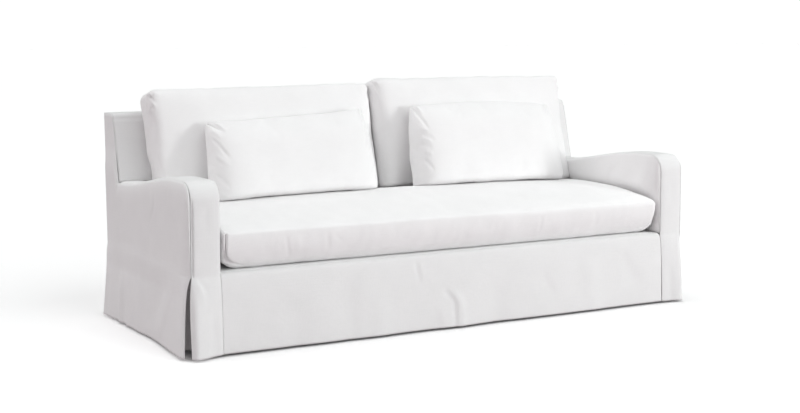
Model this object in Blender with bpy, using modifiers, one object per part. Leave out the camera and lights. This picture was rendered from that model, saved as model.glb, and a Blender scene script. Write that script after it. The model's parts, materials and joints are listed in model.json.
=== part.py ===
"""A fitted cover for a two-seat sofa, with its seat, back and lumbar cushions, as it hangs on the sofa.

The sofa itself is left out, so the cover is hollow. Lengths are metres, +X runs to the right of
somebody facing the sofa, +Y to its back and +Z up. Pieces are drawn with depth measured from the
plane of the arm fronts, and the whole cover is then centred over the origin, hem at z = 0.
"""

from math import cos, exp, pi, radians, sin

import bmesh
import bpy
from mathutils import Vector

# ---- Driving sizes -------------------------------------------------------------------------

LENGTH = 2.13            # over the outside arms, above the pleats
DEPTH = 0.91             # arm fronts to the outside back, at seat height
ARM_WIDTH = 0.108
ARM_LOW_Z = 0.522        # the arm's top where it meets the back
ARM_CREST_Z = 0.592      # the arm's top at its front
ARM_CORNER = 0.062       # radius of the arm's front top corner
SCOOP = (0.14, 0.74)     # depths between which the arm's top sinks from crest to low
DECK_Z = 0.278           # the cloth under the seat cushion
RAIL_ROUND = 0.016       # radius where the front panel turns into the deck
BACK_TOP_Z = 0.782
BACK_FOOT_DEPTH = 0.695  # front of the inside back at the deck
BACK_HEAD_DEPTH = 0.826  # front of the inside back at its top
BACK_ROUND = 0.020       # radius between the inside back and its top
REAR_RAKE = 0.022        # how far the outside back leans back at its top
CLOTH = 0.002            # thickness of the cloth with its seams
SEAM = 0.0003            # clearance between two pieces
PLEAT_TOP_Z = 0.272      # the corner pleats open below this height

HALF = LENGTH / 2
INNER = HALF - ARM_WIDTH             # the inside arm's face
RAKE = (BACK_HEAD_DEPTH - BACK_FOOT_DEPTH) / (BACK_TOP_Z - DECK_Z)
LEAN = radians(14.5)                 # the back's slope as an angle

# How far each skirt stands out at the hem: in its middle and at its two ends, front and back on the
# sides, left and right on the front and back. A soft upright fold stands at one share of its width.
SKIRTS = {
    "left": {"middle": 0.022, "ends": (0.043, 0.048), "fold_at": 0.69, "fold": 0.006},
    "right": {"middle": 0.014, "ends": (0.010, 0.034), "fold_at": 0.42, "fold": 0.006},
    "front": {"middle": 0.017, "ends": (0.020, 0.022), "fold_at": 0.50, "fold": 0.010},
    "back": {"middle": 0.020, "ends": (0.036, 0.034), "fold_at": 0.31, "fold": 0.006},
}
# The arm fronts' skirts swing forward at their outer edges by this much at the hem.
FORWARD = {"left": 0.055, "right": 0.040}
# Each skirt's upright edge folds in at its pleat: where the fold starts at the hem, measured in from
# the corner, how much further in it starts higher up, its radius, and its turn in radians.
FOLDS = {
    "side_front_left": {"start": -0.004, "draw": 0.034, "radius": 0.009, "turn": 2.3},
    "side_front_right": {"start": -0.002, "draw": 0.020, "radius": 0.006, "turn": 1.6},
    "side_back": {"start": 0.066, "draw": 0.0, "radius": 0.012, "turn": 1.9},
    "arm_front_left": {"start": 0.013, "draw": 0.0, "radius": 0.023, "turn": 1.9},
    "arm_front_right": {"start": 0.022, "draw": 0.0, "radius": 0.018, "turn": 1.9},
    "back": {"start": 0.030, "draw": 0.0, "radius": 0.016, "turn": 2.0},
}
FOLD_REACH = 0.40        # a fold draws the cloth along no further than this from its edge


# ---- Small helpers -------------------------------------------------------------------------

def smoothstep(t):
    t = min(1.0, max(0.0, t))
    return t * t * (3 - 2 * t)


def between(start, end, share):
    return start + (end - start) * share


def back_face(z):
    """Depth of the inside back's front at height z."""
    return BACK_FOOT_DEPTH + (z - DECK_Z) * RAKE


def rear_face(z):
    """Depth of the outside back at height z, above its skirt."""
    return DEPTH - 0.005 + REAR_RAKE * max(0.0, (z - DECK_Z) / (BACK_TOP_Z - DECK_Z))


def arm_top(depth):
    """Height of the arm's top at a depth behind its front corner."""
    fall = smoothstep((depth - SCOOP[0]) / (SCOOP[1] - SCOOP[0]))
    return between(ARM_CREST_Z, ARM_LOW_Z, fall)


def fallen(z):
    """0 at the top of the pleats and above, 1 at the hem."""
    return min(1.0, max(0.0, (PLEAT_TOP_Z - z) / PLEAT_TOP_Z))


def opening(z):
    """How far a skirt has swung out at height z, from 0 to 1."""
    return 0.5 * fallen(z) + 0.5 * (1 - exp(-6 * fallen(z)))


def parting(z):
    """How far a pleat has opened at height z: quickly under its pointed top, then slowly."""
    return 1 - exp(-4.5 * fallen(z))


def folded(reach, fold, z, limit=FOLD_REACH):
    """Where cloth lies that is this far from its upright edge: along from the corner, and in."""
    bend = fold["radius"] * fold["turn"]
    start = fold["start"] + fold["draw"] * (1 - fallen(z))
    if reach >= limit:
        return reach, 0.0
    if reach >= bend:
        along, inward = between(start, limit, (reach - bend) / (limit - bend)), 0.0
    else:
        angle = (bend - reach) / fold["radius"]
        along = start - fold["radius"] * sin(angle)
        inward = fold["radius"] * (1 - cos(angle))
    return between(reach, along, parting(z)), inward * parting(z)


def swing(skirt, share, z):
    """How far a skirt stands out at this share of its width and this height."""
    near, far = skirt["ends"]
    end_pull = (near - skirt["middle"]) * (1 - share) ** 4 + (far - skirt["middle"]) * share ** 4
    fold = skirt["fold"] * exp(-((share - skirt["fold_at"]) / 0.045) ** 2)
    ripple = 0.003 * sin(4.3 * pi * share + skirt["fold_at"] * 9)
    return opening(z) * (skirt["middle"] + end_pull) + opening(z) ** 2 * (fold + ripple)


# ---- Scene, materials and the two kinds of piece -------------------------------------------

def clear_scene():
    for obj in list(bpy.data.objects):
        bpy.data.objects.remove(obj)


def linen(name, colour):
    fabric = bpy.data.materials.new(name)
    fabric.use_nodes = True
    shader = fabric.node_tree.nodes["Principled BSDF"]
    shader.inputs["Base Color"].default_value = (*colour, 1.0)
    shader.inputs["Roughness"].default_value = 0.9
    shader.inputs["Metallic"].default_value = 0.0
    return fabric


def place(name, bm, fabric, holder):
    mesh = bpy.data.meshes.new(name)
    bm.to_mesh(mesh)
    bm.free()
    mesh.shade_smooth()
    mesh.set_sharp_from_angle(angle=radians(40))
    mesh.materials.append(fabric)
    obj = bpy.data.objects.new(name, mesh)
    obj.parent = holder["empty"]
    holder["collection"].objects.link(obj)
    return obj


def sheet(name, columns, rows, surface, outward, holder, keep=None):
    """A cloth panel: surface(i, j) is the outer face at column i and row j, and outward is the
    way it mostly faces. keep(i, j) leaves out the cells that an outline steps round."""
    bm = bmesh.new()
    bmesh.ops.create_grid(bm, x_segments=columns, y_segments=rows, size=0.5)
    at = {v: (round((v.co.x + 0.5) * columns), round((v.co.y + 0.5) * rows)) for v in bm.verts}
    if keep:
        lows = {f: tuple(map(min, zip(*(at[v] for v in f.verts)))) for f in bm.faces}
        unwanted = [f for f, low in lows.items() if not keep(*low)]
        bmesh.ops.delete(bm, geom=unwanted, context="FACES")
    for vert in bm.verts:
        vert.co = surface(*at[vert])
    bm.normal_update()
    if sum((f.normal * f.calc_area() for f in bm.faces), Vector()).dot(Vector(outward)) < 0:
        bmesh.ops.reverse_faces(bm, faces=bm.faces)
    obj = place(name, bm, holder["cover_fabric"], holder)
    thickness = obj.modifiers.new("thickness", "SOLIDIFY")
    thickness.thickness = CLOTH
    thickness.offset = -1.0
    thickness.use_even_offset = True
    return obj


def cushion(name, cuts, shape, holder):
    """A filled cushion: a box cut into a cage at these shares of each half side, its corners moved
    by shape(a, b, c) with each from -1 to 1, and rounded by subdivision."""
    bm = bmesh.new()
    bmesh.ops.create_cube(bm, size=2.0)
    for axis, shares in enumerate(cuts):
        normal = Vector([float(axis == k) for k in range(3)])
        for share in shares:
            everything = bm.verts[:] + bm.edges[:] + bm.faces[:]
            bmesh.ops.bisect_plane(bm, geom=everything, plane_co=normal * share, plane_no=normal)
    for vert in bm.verts:
        vert.co = shape(*vert.co)
    bm.normal_update()
    if bm.calc_volume(signed=True) < 0:
        bmesh.ops.reverse_faces(bm, faces=bm.faces)
    obj = place(name, bm, holder["cushion_fabric"], holder)
    rounding = obj.modifiers.new("rounding", "SUBSURF")
    rounding.levels = 1
    rounding.render_levels = 1
    return obj


# ---- The cover's side panels, from hem to arm top and up the end of the back ----------------

SKIRT_HEIGHTS = (0.0, 0.07, 0.14, 0.205, 0.25, PLEAT_TOP_Z)   # rows of every skirt
ARC_STEPS = 4                                                 # cells round the arm's front corner
TOP_STEPS = 7                                                 # cells along the arm's top
REAR_REACHES = (0.045, 0.020, 0.008, 0.0)                     # columns before a side's rear edge


def arm_outline():
    """Depth and height of the arm's outer surface, from its front face round to the back."""
    centre_depth, centre_z = ARM_CORNER, ARM_CREST_Z - ARM_CORNER
    turns = [i / ARC_STEPS * pi / 2 for i in range(ARC_STEPS + 1)]
    outline = [(centre_depth - ARM_CORNER * cos(t), centre_z + ARM_CORNER * sin(t)) for t in turns]
    end = back_face(ARM_LOW_Z)
    for step in range(1, TOP_STEPS + 1):
        depth = between(ARM_CORNER, end, step / TOP_STEPS)
        outline.append((depth, arm_top(depth)))
    return outline


def back_turn():
    """Depth and height of the back's end where it rounds from the inside back over to its top."""
    turns = [i / 2 * pi / 2 for i in range(3)]
    head = BACK_HEAD_DEPTH + BACK_ROUND
    return [(head - BACK_ROUND * cos(t), BACK_TOP_Z - BACK_ROUND + BACK_ROUND * sin(t)) for t in turns]


def outside_arm(side, sign, holder):
    skirt = SKIRTS[side]
    front = arm_outline() + back_turn()
    stations = [(depth, None, top) for depth, top in front]
    stations += [(None, reach, BACK_TOP_Z) for reach in REAR_REACHES]
    upper = (0.33, 0.67, 1.0)

    def surface(i, j):
        depth, reach, top = stations[i]
        if j < len(SKIRT_HEIGHTS):
            z = SKIRT_HEIGHTS[j]
        else:
            z = between(PLEAT_TOP_Z, top, upper[j - len(SKIRT_HEIGHTS)])
        if depth is None:
            depth = rear_face(z) - reach
        ahead, inward = folded(depth, FOLDS[f"side_front_{side}"], z)
        behind, curled = folded(rear_face(z) - depth, FOLDS["side_back"], z)
        out = swing(skirt, depth / rear_face(z), z) - inward - curled
        place_at = ahead if depth < FOLD_REACH else rear_face(z) - behind
        return Vector((sign * (HALF + out), place_at, z))

    rows = len(SKIRT_HEIGHTS) + len(upper) - 1
    return sheet(f"outside_arm_{side}", len(stations) - 1, rows, surface, (sign, 0, 0), holder)


# ---- The arm's boxing: one strip over its top, round its front and down to the hem ----------

BOXING_SHARES = (0.0, 0.16, 0.32, 0.48, 0.74, 1.0)   # across the strip, from its outer edge
BOXING_CROWN = 0.005                                 # how far the strip's middle stands proud


def arm_forward(side, share, z):
    """How far an arm front's skirt stands forward, this share of its width in from its outer edge."""
    seam_end = SKIRTS["front"]["ends"][0 if side == "left" else 1]
    return between(FORWARD[side], seam_end, max(0.0, share) ** 1.2) * opening(z)


def arm_boxing(side, sign, holder):
    falling = [(0.0, z) for z in (0.445, 0.36)] + [(0.0, z) for z in reversed(SKIRT_HEIGHTS)]
    stations = list(reversed(arm_outline())) + falling
    stations[0] = (stations[0][0] - CLOTH, stations[0][1])
    outer, inner = HALF - CLOTH - SEAM, INNER + CLOTH + SEAM

    def surface(i, j):
        depth, z = stations[i]
        edge = inner if z > DECK_Z else INNER + SEAM
        width = outer - edge
        reach, inward = folded(width * BOXING_SHARES[j], FOLDS[f"arm_front_{side}"], z, width)
        share = reach / width
        crown = BOXING_CROWN * (1 - (2 * share - 1) ** 2)
        rise = smoothstep((z - ARM_CREST_Z + ARM_CORNER) / ARM_CORNER) if depth < ARM_CORNER else 1.0
        ahead = depth - arm_forward(side, share, z) - crown * (1 - rise) * (1 - opening(z)) + inward
        return Vector((sign * (outer - reach), ahead, z + crown * rise))

    return sheet(f"arm_boxing_{side}", len(stations) - 1, len(BOXING_SHARES) - 1, surface,
                 (0, -1, 0.5), holder)


def inside_arm(side, sign, holder):
    outline = arm_outline()
    rows = 3
    low = DECK_Z + SEAM

    def surface(i, j):
        top_depth, top = outline[i]
        z = between(low, top - SEAM, j / rows)
        end = back_face(z) - CLOTH
        depth = between(CLOTH + SEAM, end, top_depth / outline[-1][0])
        return Vector((sign * INNER, depth, z))

    return sheet(f"inside_arm_{side}", len(outline) - 1, rows, surface, (-sign, 0, 0), holder)


# ---- Deck, front, inside back and outside back ----------------------------------------------

def deck(holder):
    reach = INNER - SEAM
    front, rear = RAIL_ROUND + 4 * SEAM, BACK_FOOT_DEPTH - CLOTH

    def surface(i, j):
        return Vector((between(-reach, reach, i / 4), between(front, rear, j / 2), DECK_Z))

    return sheet("deck", 4, 2, surface, (0, 0, 1), holder)


def front_panel(holder):
    skirt, columns = SKIRTS["front"], 24
    turns = [i / 3 * pi / 2 for i in range(4)]
    rail = [(RAIL_ROUND * (1 - cos(t)), DECK_Z - RAIL_ROUND * (1 - sin(t))) for t in turns]
    rows = [(0.0, z) for z in SKIRT_HEIGHTS[:-1]] + rail
    reach = INNER

    def surface(i, j):
        depth, z = rows[j]
        return Vector((between(-reach, reach, i / columns), depth - swing(skirt, i / columns, z), z))

    return sheet("front_panel", columns, len(rows) - 1, surface, (0, -1, 0.2), holder)


def inside_back(holder):
    """The inside back and the back's top, in one T: its head runs over the arms to the ends."""
    reach, narrow = HALF - CLOTH - SEAM, INNER - SEAM
    across = [-reach, -narrow] + [narrow * k / 3 for k in range(-2, 3)] + [narrow, reach]
    arm_row = 2
    heights = [DECK_Z + SEAM, 0.40, ARM_LOW_Z + SEAM, 0.61, 0.69]
    profile = [(back_face(z), z) for z in heights] + back_turn()
    profile.append((rear_face(BACK_TOP_Z), BACK_TOP_Z))

    def surface(i, j):
        depth, z = profile[j]
        return Vector((across[i], depth - (SEAM if j == len(profile) - 1 else 0), z))

    def keep(i, j):
        return j >= arm_row or 0 < i < len(across) - 2

    return sheet("inside_back", len(across) - 1, len(profile) - 1, surface, (0, -1, 0.4), holder, keep)


def outside_back(holder):
    skirt = SKIRTS["back"]
    heights = list(SKIRT_HEIGHTS) + [0.45, 0.61, BACK_TOP_Z - SEAM - CLOTH]
    reach = HALF - CLOTH - SEAM
    edges = [0.0, 0.011, 0.022, 0.034, 0.10]
    middle = [between(0.25, 2 * reach - 0.25, k / 10) for k in range(11)]
    across = edges + middle + [2 * reach - edge for edge in reversed(edges)]

    def surface(i, j):
        z, at = heights[j], across[i]
        flip = at > reach
        along, inward = folded(2 * reach - at if flip else at, FOLDS["back"], z)
        x = reach - along if flip else along - reach
        out = swing(skirt, at / (2 * reach), z) - inward
        return Vector((x, rear_face(z) + out, z))

    return sheet("outside_back", len(across) - 1, len(heights) - 1, surface, (0, 1, 0), holder)


# ---- The pleats' gussets: the cloth that shows inside each open corner ----------------------

# A gusset's path seen from above: how far back along the side's skirt it starts, how far in along
# the front's or back's skirt it ends, and how far it bows into the hollow corner between them.
GUSSETS = {
    "front": {"along_side": 0.125, "along_end": 0.092, "bow": 0.026},
    "back": {"along_side": 0.180, "along_end": 0.140, "bow": 0.034},
}
GUSSET_HEM_Z = 0.004     # a gusset's hem hangs a little above the skirts'
GUSSET_EASES = (0.0042, 0.0008)   # clearance to the side's skirt, and to the skirt that carries it


def gusset(end, side, sign, holder):
    """A strip behind a corner's two folded edges, narrow at the pleat's top and wide at its hem."""
    path, skirt, back = GUSSETS[end], SKIRTS[side], end == "back"
    columns, heights = 8, (GUSSET_HEM_Z, *SKIRT_HEIGHTS[1:-1], PLEAT_TOP_Z - 0.008)

    def surface(i, j):
        z = heights[j]
        wide, turn = between(0.4, 1.0, parting(z)), i / columns * pi / 2
        side_y, end_x = path["along_side"] * wide, path["along_end"] * wide
        share = side_y / rear_face(z)
        if back:
            side_out = swing(skirt, 1 - share, z)
            end_out = swing(SKIRTS["back"], (HALF + sign * (HALF - end_x)) / LENGTH, z)
        else:
            side_out = swing(skirt, share, z)
            end_out = arm_forward(side, end_x / ARM_WIDTH, z)
        side_x, end_y = CLOTH + GUSSET_EASES[0] - side_out, CLOTH + GUSSET_EASES[1] - end_out
        bow = path["bow"] * wide * sin(2 * turn)
        x = side_x * cos(turn) + end_x * (1 - cos(turn)) + bow
        y = end_y * sin(turn) + side_y * (1 - sin(turn)) + bow
        return Vector((sign * (HALF - x), rear_face(z) - y if back else y, z))

    outward = (sign, 1 if back else -1, 0)
    return sheet(f"pleat_gusset_{end}_{side}", columns, len(heights) - 1, surface, outward, holder)


# ---- Cushions --------------------------------------------------------------------------------

SEAT = {"half_width": 0.945, "front": 0.004, "rear": 0.688, "edge": 0.150, "crown": 0.024, "dome": 0.026}
# A back cushion's height at its left and right end, how far its top arches between them, and how
# far it swells out over the arm beside it.
BACK_CUSHIONS = {
    "left": {"half_width": 0.468, "heights": (0.409, 0.418), "arch": -0.002, "over": 0.014},
    "right": {"half_width": 0.468, "heights": (0.437, 0.426), "arch": 0.002, "over": 0.004},
}
BACK_EDGE, BACK_PUFF = 0.145, 0.055   # a back cushion's thickness at its edges, and its crown
# A lumbar pillow's ends, left and right, each as its X at the top corner and at the foot, its seam's
# depth where it stands on the seat, its height at each end, and how far its top arches between them.
LUMBARS = {
    "left": {"ends": ((-0.777, -0.799), (-0.121, -0.121)), "foot": 0.488,
             "heights": (0.302, 0.329), "arch": -0.006},
    "right": {"ends": ((0.124, 0.078), (0.815, 0.800)), "foot": 0.484,
              "heights": (0.330, 0.331), "arch": 0.014},
}
LUMBAR_LEAN = radians(17)
LUMBAR_EDGE, LUMBAR_FRONT, LUMBAR_REAR = 0.012, 0.098, 0.039   # its seam, and its two crowns
LUMBAR_SLUMP = 0.030                                           # how much fuller its front is low down


def seat_top(x, depth):
    """Height of the seat cushion's top."""
    a = min(1.0, abs(x) / SEAT["half_width"])
    b = between(-1, 1, (depth - SEAT["front"]) / (SEAT["rear"] - SEAT["front"]))
    b = min(1.0, max(-1.0, b))
    crown = SEAT["crown"] * (1 - abs(b - 0.15) ** 2.2)
    return DECK_Z + SEAM + SEAT["edge"] + crown + SEAT["dome"] * (1 - a ** 4) * (1 - b * b)


def seat_cushion(holder):
    def shape(a, b, c):
        pull = 0.006 * (1 - c * c)
        x = a * (SEAT["half_width"] - 0.010 * (1 - b * b) + pull)
        depth = between(SEAT["front"], SEAT["rear"], (b + 1) / 2) - 0.004 * (1 - a * a) * (b < 0)
        return Vector((x, depth, between(DECK_Z + SEAM, seat_top(x, depth), (c + 1) / 2)))

    along = (-0.97, -0.88, -0.66, -0.33, 0.0, 0.33, 0.66, 0.88, 0.97)
    return cushion("seat_cushion", (along, (-0.92, -0.6, 0.0, 0.6, 0.92), (-0.5, 0.5)), shape, holder)


def back_cushion(side, sign, holder):
    size = BACK_CUSHIONS[side]
    middle = sign * (INNER - 0.002) / 2
    foot_z = DECK_Z + SEAT["edge"] + SEAT["crown"]

    def leaning(x, up, forward):
        return Vector((x, back_face(foot_z) + up * sin(LEAN) - forward * cos(LEAN),
                       foot_z + up * cos(LEAN) + forward * sin(LEAN)))

    def shape(a, b, c):
        full = (1 - abs(a) ** 3.2) * (1 - abs(b) ** 2.6)
        forward = 0.001 + (BACK_EDGE + BACK_PUFF * full) * (c + 1) / 2
        x = middle + a * (size["half_width"] - 0.008 * (1 - b * b))
        foot = leaning(x, 0.0, forward)
        drop = (foot.z - seat_top(foot.x, foot.y) - 0.001) / cos(LEAN)
        height = between(*size["heights"], (a + 1) / 2) + size["arch"] * (1 - a * a)
        point = leaning(x, between(-drop, height, (b + 1) / 2), forward)
        if sign * a > 0:
            point.x += sign * size["over"] * abs(a) * smoothstep((point.z - ARM_LOW_Z - 0.02) / 0.10)
        return point

    across = (-0.93, -0.72, -0.36, 0.0, 0.36, 0.72, 0.93)
    up = (-0.86, -0.45, 0.0, 0.45, 0.86)
    return cushion(f"back_cushion_{side}", (across, up, (-0.4, 0.4)), shape, holder)


def lumbar_pillow(side, holder):
    size = LUMBARS[side]

    def shape(a, b, c):
        full = ((1 - abs(a) ** 9.0) * (1 - abs(b) ** 2.6)) ** 0.6
        puff = LUMBAR_FRONT - LUMBAR_SLUMP * b if c > 0 else LUMBAR_REAR
        forward = c * (LUMBAR_EDGE / 2 + puff * full)
        fallen_share = 1 - ((b + 1) / 2) ** 3
        left, right = [between(top, foot, fallen_share) for top, foot in size["ends"]]
        pull = 0.006 * (1 - b * b)
        x = between(left + pull, right - pull, (a + 1) / 2)
        height = between(*size["heights"], (a + 1) / 2) + size["arch"] * (1 - a * a)
        up = height * (b + 1) / 2
        foot_z = seat_top(x, size["foot"]) - 0.006
        return Vector((x, size["foot"] + up * sin(LUMBAR_LEAN) - forward * cos(LUMBAR_LEAN),
                       foot_z + up * cos(LUMBAR_LEAN) + forward * sin(LUMBAR_LEAN)))

    across = (-0.94, -0.66, -0.22, 0.22, 0.66, 0.94)
    return cushion(f"lumbar_pillow_{side}", (across, (-0.8, -0.3, 0.3, 0.8), ()), shape, holder)


# ---- The whole cover -------------------------------------------------------------------------

def centre(empty, objects):
    """Moves the whole cover so that the middle of its outline stands over the origin."""
    bpy.context.view_layer.update()
    graph = bpy.context.evaluated_depsgraph_get()
    corners = [obj.matrix_world @ Vector(c) for obj in objects for c in obj.evaluated_get(graph).bound_box]
    low = Vector([min(c[k] for c in corners) for k in range(3)])
    high = Vector([max(c[k] for c in corners) for k in range(3)])
    empty.location = Vector((-(low.x + high.x) / 2, -(low.y + high.y) / 2, -low.z))


def main():
    clear_scene()
    collection = bpy.data.collections.new("sofa_slipcover")
    bpy.context.scene.collection.children.link(collection)
    empty = bpy.data.objects.new("cover_origin", None)
    collection.objects.link(empty)
    holder = {
        "collection": collection,
        "empty": empty,
        "cover_fabric": linen("cover_linen", (0.84, 0.83, 0.83)),
        "cushion_fabric": linen("cushion_linen", (0.87, 0.87, 0.86)),
    }
    pieces = [deck(holder), front_panel(holder), inside_back(holder), outside_back(holder)]
    for side, sign in (("left", -1), ("right", 1)):
        pieces += [outside_arm(side, sign, holder), arm_boxing(side, sign, holder)]
        pieces += [inside_arm(side, sign, holder)]
        pieces += [gusset(end, side, sign, holder) for end in ("front", "back")]
        pieces += [back_cushion(side, sign, holder), lumbar_pillow(side, holder)]
    pieces += [seat_cushion(holder)]
    centre(empty, pieces)


main()
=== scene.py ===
"""Dresses the sofa slipcover: fine linen sheets, filled cushions and a white studio.

Lengths are metres. Pieces are drawn as the solids are, with X from the cover's middle and depth from
the plane of the arm fronts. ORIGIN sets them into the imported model's frame.
"""
import json
from math import cos, pi, radians, sin

import bpy
import numpy as np
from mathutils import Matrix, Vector, noise

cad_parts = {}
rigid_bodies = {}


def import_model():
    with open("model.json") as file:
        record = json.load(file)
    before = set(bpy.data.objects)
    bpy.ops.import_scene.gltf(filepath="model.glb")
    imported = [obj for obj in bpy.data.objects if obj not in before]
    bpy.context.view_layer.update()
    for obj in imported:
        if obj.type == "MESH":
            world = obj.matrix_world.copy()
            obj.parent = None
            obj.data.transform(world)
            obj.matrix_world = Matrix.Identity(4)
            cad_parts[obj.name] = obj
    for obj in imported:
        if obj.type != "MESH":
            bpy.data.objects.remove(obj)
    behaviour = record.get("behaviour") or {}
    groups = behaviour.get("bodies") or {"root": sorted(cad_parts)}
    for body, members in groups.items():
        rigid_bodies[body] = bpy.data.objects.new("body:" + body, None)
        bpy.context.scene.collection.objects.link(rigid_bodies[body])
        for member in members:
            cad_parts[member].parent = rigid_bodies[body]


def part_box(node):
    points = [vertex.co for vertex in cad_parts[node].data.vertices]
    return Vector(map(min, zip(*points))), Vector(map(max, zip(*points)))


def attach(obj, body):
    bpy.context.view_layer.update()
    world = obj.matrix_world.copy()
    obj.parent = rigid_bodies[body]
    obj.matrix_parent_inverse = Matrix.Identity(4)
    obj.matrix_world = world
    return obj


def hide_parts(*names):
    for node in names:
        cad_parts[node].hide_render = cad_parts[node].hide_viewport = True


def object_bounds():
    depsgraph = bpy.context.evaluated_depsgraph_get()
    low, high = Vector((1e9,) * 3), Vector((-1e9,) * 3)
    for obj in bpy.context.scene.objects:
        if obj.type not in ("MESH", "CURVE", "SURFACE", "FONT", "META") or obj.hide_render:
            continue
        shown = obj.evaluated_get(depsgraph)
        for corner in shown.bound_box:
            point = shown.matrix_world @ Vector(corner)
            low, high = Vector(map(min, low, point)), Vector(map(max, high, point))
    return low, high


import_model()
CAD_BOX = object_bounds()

# ---- Driving sizes, the same as the solids' ----

LENGTH = 2.13
DEPTH = 0.91
ARM_WIDTH = 0.108
ARM_LOW_Z = 0.522
ARM_CREST_Z = 0.592
ARM_CORNER = 0.062
SCOOP = (0.14, 0.74)
DECK_Z = 0.278
RAIL_ROUND = 0.016
BACK_TOP_Z = 0.782
BACK_FOOT_DEPTH = 0.695
BACK_HEAD_DEPTH = 0.826
BACK_ROUND = 0.02
REAR_RAKE = 0.022
CLOTH = 0.002
SEAM = 0.0003
PLEAT_TOP_Z = 0.272
HALF = LENGTH / 2
INNER = HALF - ARM_WIDTH
RAKE = (BACK_HEAD_DEPTH - BACK_FOOT_DEPTH) / (BACK_TOP_Z - DECK_Z)
LEAN = radians(14.5)
FLOOR_DROP = 0.008  # the hems clear the floor by this much

SKIRTS = {
    "left": {"middle": 0.022, "ends": (0.043, 0.048), "fold_at": 0.69, "fold": 0.006},
    "right": {"middle": 0.014, "ends": (0.01, 0.034), "fold_at": 0.42, "fold": 0.006},
    "front": {"middle": 0.017, "ends": (0.02, 0.022), "fold_at": 0.5, "fold": 0.01},
    "back": {"middle": 0.02, "ends": (0.036, 0.034), "fold_at": 0.31, "fold": 0.006},
}
FORWARD = {"left": 0.055, "right": 0.04}
FOLDS = {
    "side_front_left": {"start": 0.007, "draw": 0.034, "radius": 0.02, "turn": 1.2},
    "side_front_right": {"start": -0.002, "draw": 0.02, "radius": 0.006, "turn": 1.6},
    "side_back": {"start": 0.066, "draw": 0, "radius": 0.012, "turn": 1.9},
    "arm_front_left": {"start": 0.012, "draw": 0, "radius": 0.03, "turn": 1.2},
    "arm_front_right": {"start": 0.022, "draw": 0, "radius": 0.018, "turn": 1.9},
    "back": {"start": 0.03, "draw": 0, "radius": 0.016, "turn": 2.0},
}
FOLD_REACH = 0.4
CREASE_REACH = 0.14  # from its corners to here the crease at a skirt's top eases off

DECK_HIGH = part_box("deck")[1]
ORIGIN = np.array([DECK_HIGH[0] - (INNER - SEAM), DECK_HIGH[1] - (BACK_FOOT_DEPTH - CLOTH),
                   DECK_HIGH[2] - DECK_Z])


# ---- Small helpers ----

def smoothstep(t):
    t = np.clip(t, 0, 1)
    return t * t * (3 - 2 * t)


def between(start, end, share):
    return start + (end - start) * share


def bell(off, width):
    return np.exp(-(off / width) ** 2)


def steps(*stops):
    """Numbers that run through these stops, each given with the count of steps to it."""
    run = [np.array([stops[0]], float)]
    for count, stop in stops[1:]:
        run.append(np.linspace(run[-1][-1], stop, count + 1)[1:])
    return np.concatenate(run)


def back_face(z):
    return BACK_FOOT_DEPTH + (z - DECK_Z) * RAKE


def rear_face(z):
    return DEPTH - 0.005 + REAR_RAKE * np.clip((z - DECK_Z) / (BACK_TOP_Z - DECK_Z), 0, None)


def arm_top(depth):
    return between(ARM_CREST_Z, ARM_LOW_Z, smoothstep((depth - SCOOP[0]) / (SCOOP[1] - SCOOP[0])))


def fallen(z):
    return np.clip((PLEAT_TOP_Z - z) / PLEAT_TOP_Z, 0, 1)


def opening(z):
    return 0.5 * fallen(z) + 0.5 * (1 - np.exp(-6 * fallen(z)))


def parting(z):
    return 1 - np.exp(-4.5 * fallen(z))


def folded(reach, fold, z, limit=FOLD_REACH):
    """Where cloth lies that is this far from its upright edge: along from the corner, and in."""
    bend = fold["radius"] * fold["turn"]
    start = fold["start"] + fold["draw"] * (1 - fallen(z))
    angle = np.clip((bend - reach) / fold["radius"], 0, None)
    curled = reach < bend
    flat = between(start, limit, (reach - bend) / (limit - bend))
    along = np.where(curled, start - fold["radius"] * np.sin(angle), flat)
    inward = np.where(curled, fold["radius"] * (1 - np.cos(angle)), 0.0)
    beyond = reach >= limit
    along = np.where(beyond, reach, between(reach, along, parting(z)))
    return along, np.where(beyond, 0.0, inward * parting(z))


def eased_opening(z):
    """The same as opening, but with no crease where it begins."""
    return np.mean([opening(z + shift) for shift in np.linspace(-0.035, 0.035, 9)], axis=0)


def swing(skirt, share, z, ease=0.0):
    """How far a skirt stands out at this share of its width and this height."""
    near, far = skirt["ends"]
    end_pull = (near - skirt["middle"]) * (1 - share) ** 4 + (far - skirt["middle"]) * share ** 4
    fold = skirt["fold"] * bell(share - skirt["fold_at"], 0.045)
    ripple = 0.003 * np.sin(4.3 * pi * share + skirt["fold_at"] * 9)
    out = between(opening(z), eased_opening(z), ease)
    return out * (skirt["middle"] + end_pull) + out ** 2 * (fold + ripple)


# ---- Folds and unevenness ----

def curve(points, count=14):
    """A smooth run of points through these few."""
    knots = np.array([points[0], *points, points[-1]], float)
    run = []
    for k in range(1, len(knots) - 2):
        for t in np.linspace(0, 1, count, endpoint=False):
            p0, p1, p2, p3 = knots[k - 1:k + 3]
            run.append(0.5 * (2 * p1 + (p2 - p0) * t + (2 * p0 - 5 * p1 + 4 * p2 - p3) * t ** 2
                              + (3 * p1 - p0 - 3 * p2 + p3) * t ** 3))
    return np.array([*run, knots[-1]])


def both(value):
    """A pair of numbers, for which one number may stand."""
    return np.broadcast_to(value, 2)


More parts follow.
